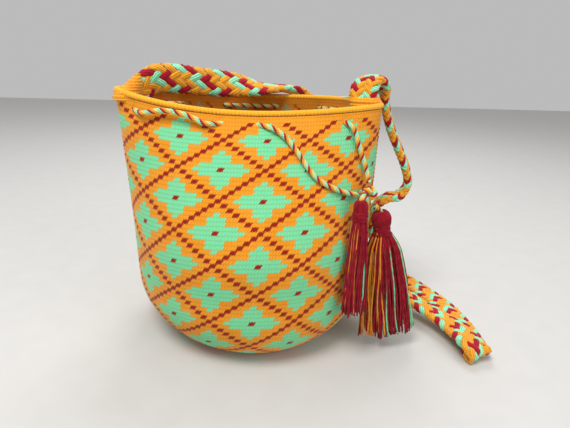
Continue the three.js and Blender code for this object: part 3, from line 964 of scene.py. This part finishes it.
def make_tassel(name, spec, strands, choose, seed, materials, cord_materials):
    rng = np.random.default_rng(seed)
    start, axis, length, across, depth = tassel_frame(spec)
    downs, wide, deep = tassel_outline(spec, length)
    neck_down = spec["neck_down"]
    build = Build()

    def place(down, turn, share):
        down = np.asarray(down, float)
        w = np.interp(down, downs, wide) * share
        d = np.interp(down, downs, deep) * share
        return start + axis * down[:, None] + across * (np.cos(turn) * w)[:, None] + depth * (
            np.sin(turn) * d)[:, None]

    # folded yarn over the head, on a core that closes the gaps
    core_downs = np.linspace(0.5, neck_down + 20, 16)
    turns = np.arange(20) / 20 * 2 * np.pi
    core = np.stack([place(core_downs, t, 0.8) for t in turns], 1)
    build.grid(core, np.arange(20) / 20, core_downs)
    folds = int(spec["head"] * 3.4)
    for k in range(folds):
        turn = (k + rng.uniform(-0.2, 0.2)) / folds * 2 * np.pi
        line_downs = np.linspace(0, neck_down + 6, 14)
        twist = turn + 0.25 * np.sin(line_downs / neck_down * np.pi)
        build.tube(place(line_downs, twist, 0.93), FOLD_RADIUS, 6, 0)

    # loose ends of the skirt
    for k in range(strands):
        turn = rng.uniform(0, 2 * np.pi)
        share = np.sqrt(rng.uniform(0.04, 1.0))
        end = length * rng.uniform(0.93, 1.0)
        line_downs = np.linspace(neck_down - 3, end, 18)
        line = place(line_downs, turn + rng.uniform(-0.25, 0.25) * (line_downs / length), share * 0.95)
        loose = smooth_step(line_downs, neck_down, length)
        for way, size in ((across, 1.0), (depth, 0.8)):
            wave = rng.uniform(0.6, 1.8) * size * np.sin(
                line_downs / rng.uniform(11, 22) + rng.uniform(0, 2 * np.pi))
            line = line + way * (wave * loose)[:, None]
        line[:, 2] = np.maximum(line[:, 2], 1.2)
        build.tube(line, STRAND_RADIUS, 6, choose(np.cos(turn) * share, rng.random()))
    build.make(f"{name}_yarn", materials, name, [f"{name}_hank"])

    # yarn wound round the neck
    wraps = Build()
    turn = np.linspace(0, 2 * np.pi * WRAP_TURNS, 120)
    radius = spec["neck"] + 0.6
    line = (
        start + axis * (neck_down - 2 + turn / (2 * np.pi) * WRAP_STEP)[:, None]
        + across * (np.cos(turn) * radius)[:, None] + depth * (np.sin(turn) * radius)[:, None]
    )
    wraps.tube(line, WRAP_RADIUS, 6, 0)
    wraps.make(f"{name}_wrap", materials, name, [f"{name}_binding"])

    cord = Build()
    hinge = np.array(spec["hinge"], float)
    line = evenly([hinge + (hinge - start) * 0.25, hinge, (hinge + start) / 2, start + axis * 1.5], 0.8)
    twisted(cord, line, CORD_DIAMETER / 2, CORD_PITCH, CORD_PLIES)
    cord.make(f"{name}_lead", cord_materials, name, [f"{name}_cord"])


def right_colour(side, chance):
    if side < -0.25:
        return 1 if chance < 0.62 else 0
    if side > 0.8:
        return 2 if chance < 0.8 else 0
    if 0.12 < side < 0.24:
        return 2 if chance < 0.4 else 0
    return 0 if chance < 0.94 else 2


def left_colour(side, chance):
    if side > 0.3:
        return 0 if chance < 0.75 else 2
    return 0 if chance < 0.88 else 1


def make_knot(materials):
    """The two ends of the drawstring tied in one loose knot."""
    t = np.linspace(0, 2 * np.pi, 180)
    line = np.stack([
        6.6 * (np.sin(t) + 2 * np.sin(2 * t)) / 3,
        -4.2 * np.sin(3 * t),
        8.2 * (np.cos(t) - 2 * np.cos(2 * t)) / 3,
    ], -1) + KNOT
    build = Build()
    twisted(build, line, CORD_DIAMETER / 2, CORD_PITCH, CORD_PLIES)
    build.make("drawstring_tie", materials, "bag", ["drawstring_knot"])


def make_yarn_tail():
    build = Build()
    twisted(build, evenly(YARN_TAIL, 0.3), 1.0, 3.0, [0, 0], 6)
    material = yarn("thread_mint", (0.6, 0.9, 0.75), plies=2, twist=2)
    build.make("loose_thread", [material], "bag", ["yarn_tail"])


make_bag()
make_bead()
TAB_CROCHET = tab_material()
make_tab("left_tab", "left_strap_tab", LEFT_TAB, TAB_CROCHET)
make_tab("right_tab", "right_strap_tab", RIGHT_TAB, TAB_CROCHET)
TASSEL_YARNS = [
    yarn("tassel_crimson", CRIMSON, shade_and_fibre_dark=0.6, plies=2, twist=11, sheen=0.1),
    yarn("tassel_yellow", (0.85, 0.3, 0.012), shade_and_fibre_dark=0.6, plies=2, twist=11),
    yarn("tassel_mint", MINT, shade_and_fibre_dark=0.6, plies=2, twist=11),
]
make_tassel("left_tassel", TASSELS["left_tassel"], 95, left_colour, 11, TASSEL_YARNS, CORD_YARNS)
make_tassel("right_tassel", TASSELS["right_tassel"], 230, right_colour, 7, TASSEL_YARNS, CORD_YARNS)
make_knot(CORD_YARNS)
make_yarn_tail()
